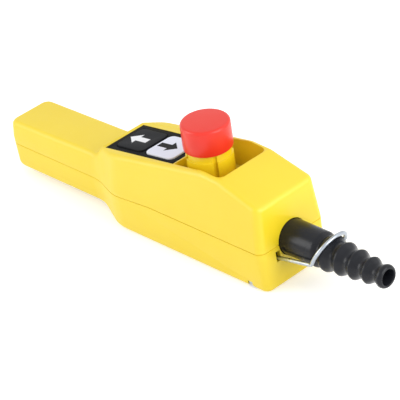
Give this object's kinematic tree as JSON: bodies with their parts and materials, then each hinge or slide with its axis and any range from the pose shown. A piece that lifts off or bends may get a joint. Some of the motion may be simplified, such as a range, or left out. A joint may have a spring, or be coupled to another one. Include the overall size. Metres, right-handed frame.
{
  "type": "pendant control station",
  "caption": "Pistol-grip pendant control station with direction push buttons, a mushroom emergency stop in a well, a ribbed cable sleeve and a wire bail.",
  "frame": {"origin": "on the flat back, under the middle of the length", "axes": "+X along the length from the grip to the cable sleeve, +Y across, +Z out of the button face"},
  "size_m": [0.3096, 0.0534, 0.0846],
  "materials": {
    "yellow_shell": "moulded, light orange-peel, satin gloss",
    "yellow_collar": "moulded, satin gloss",
    "red_head": "moulded, glossy",
    "black_panel": "fine matt texture",
    "black_cap": "smooth, satin",
    "white_cap": "smooth, satin",
    "white_mark": "second shot of the cap moulding, satin",
    "black_mark": "second shot of the cap moulding, satin",
    "black_rubber": "matt, slightly dusty",
    "seal_rubber": "matt",
    "zinc_steel": "zinc plated, semi-bright",
    "spring_steel": "drawn wire",
    "turned_steel": "turned, bright",
    "brass": "stamped, bare",
    "block_plastic": "glass-filled, matt",
    "plunger_plastic": "unfilled, matt"
  },
  "bodies": {
    "station": {"upper_housing": "yellow_shell", "back_cover": "yellow_shell", "cover_seal": "seal_rubber", "grip_screws": "zinc_steel", "cover_screws": "zinc_steel", "clamp_screws": "zinc_steel", "deck_bezel": "black_panel", "bezel_gasket": "seal_rubber", "lower_spring": "spring_steel", "lower_terminals": "brass", "lower_block": "block_plastic", "raise_spring": "spring_steel", "raise_terminals": "brass", "raise_block": "block_plastic", "block_screws": "zinc_steel", "terminal_screws": "zinc_steel", "stop_gasket": "seal_rubber", "stop_collar": "yellow_collar", "stop_bush": "turned_steel", "stop_nut": "zinc_steel", "stop_spring": "spring_steel", "stop_bridge_spring": "spring_steel", "stop_terminals": "brass", "stop_block": "block_plastic", "cable_sleeve": "black_rubber", "cable_clamp": "block_plastic"},
    "lower_button": {"lower_cap": "black_cap", "lower_arrow": "white_mark", "lower_plunger": "plunger_plastic", "lower_bridge": "brass"},
    "raise_button": {"raise_cap": "white_cap", "raise_arrow": "black_mark", "raise_plunger": "plunger_plastic", "raise_bridge": "brass"},
    "stop_carrier": {"stop_bridge": "brass"},
    "stop_knob": {"stop_head": "red_head", "stop_shaft": "turned_steel"},
    "bail": {"bail": "zinc_steel"}
  },
  "joints": [
    {"name": "lower_press", "type": "slide", "parent": "station", "child": "lower_button", "axis": [0.1374, 0, -0.9905], "range_m": [0, 0.0035], "stiffness_N_per_m": 800, "springref_m": -0.003, "deforming": ["lower_spring"]},
    {"name": "raise_press", "type": "slide", "parent": "station", "child": "raise_button", "axis": [0.1374, 0, -0.9905], "range_m": [0, 0.0035], "stiffness_N_per_m": 800, "springref_m": -0.003, "deforming": ["raise_spring"]},
    {"name": "stop_press", "type": "slide", "parent": "station", "child": "stop_carrier", "axis": [0, 0, -1], "range_m": [0, 0.0045], "stiffness_N_per_m": 1200, "springref_m": -0.004, "deforming": ["stop_spring", "stop_bridge_spring"]},
    {"name": "stop_turn", "type": "hinge", "parent": "stop_carrier", "child": "stop_knob", "pos_m": [0.01756, 0, 0.073], "axis": [0, 0, -1], "range_deg": [0, 45], "stiffness_Nm_per_rad": 0.05},
    {"name": "bail_swing", "type": "hinge", "parent": "station", "child": "bail", "pos_m": [0.07556, 0.0004, 0.01891], "axis": [0, -0.9986, -0.0523], "range_deg": [0, 10]}
  ]
}
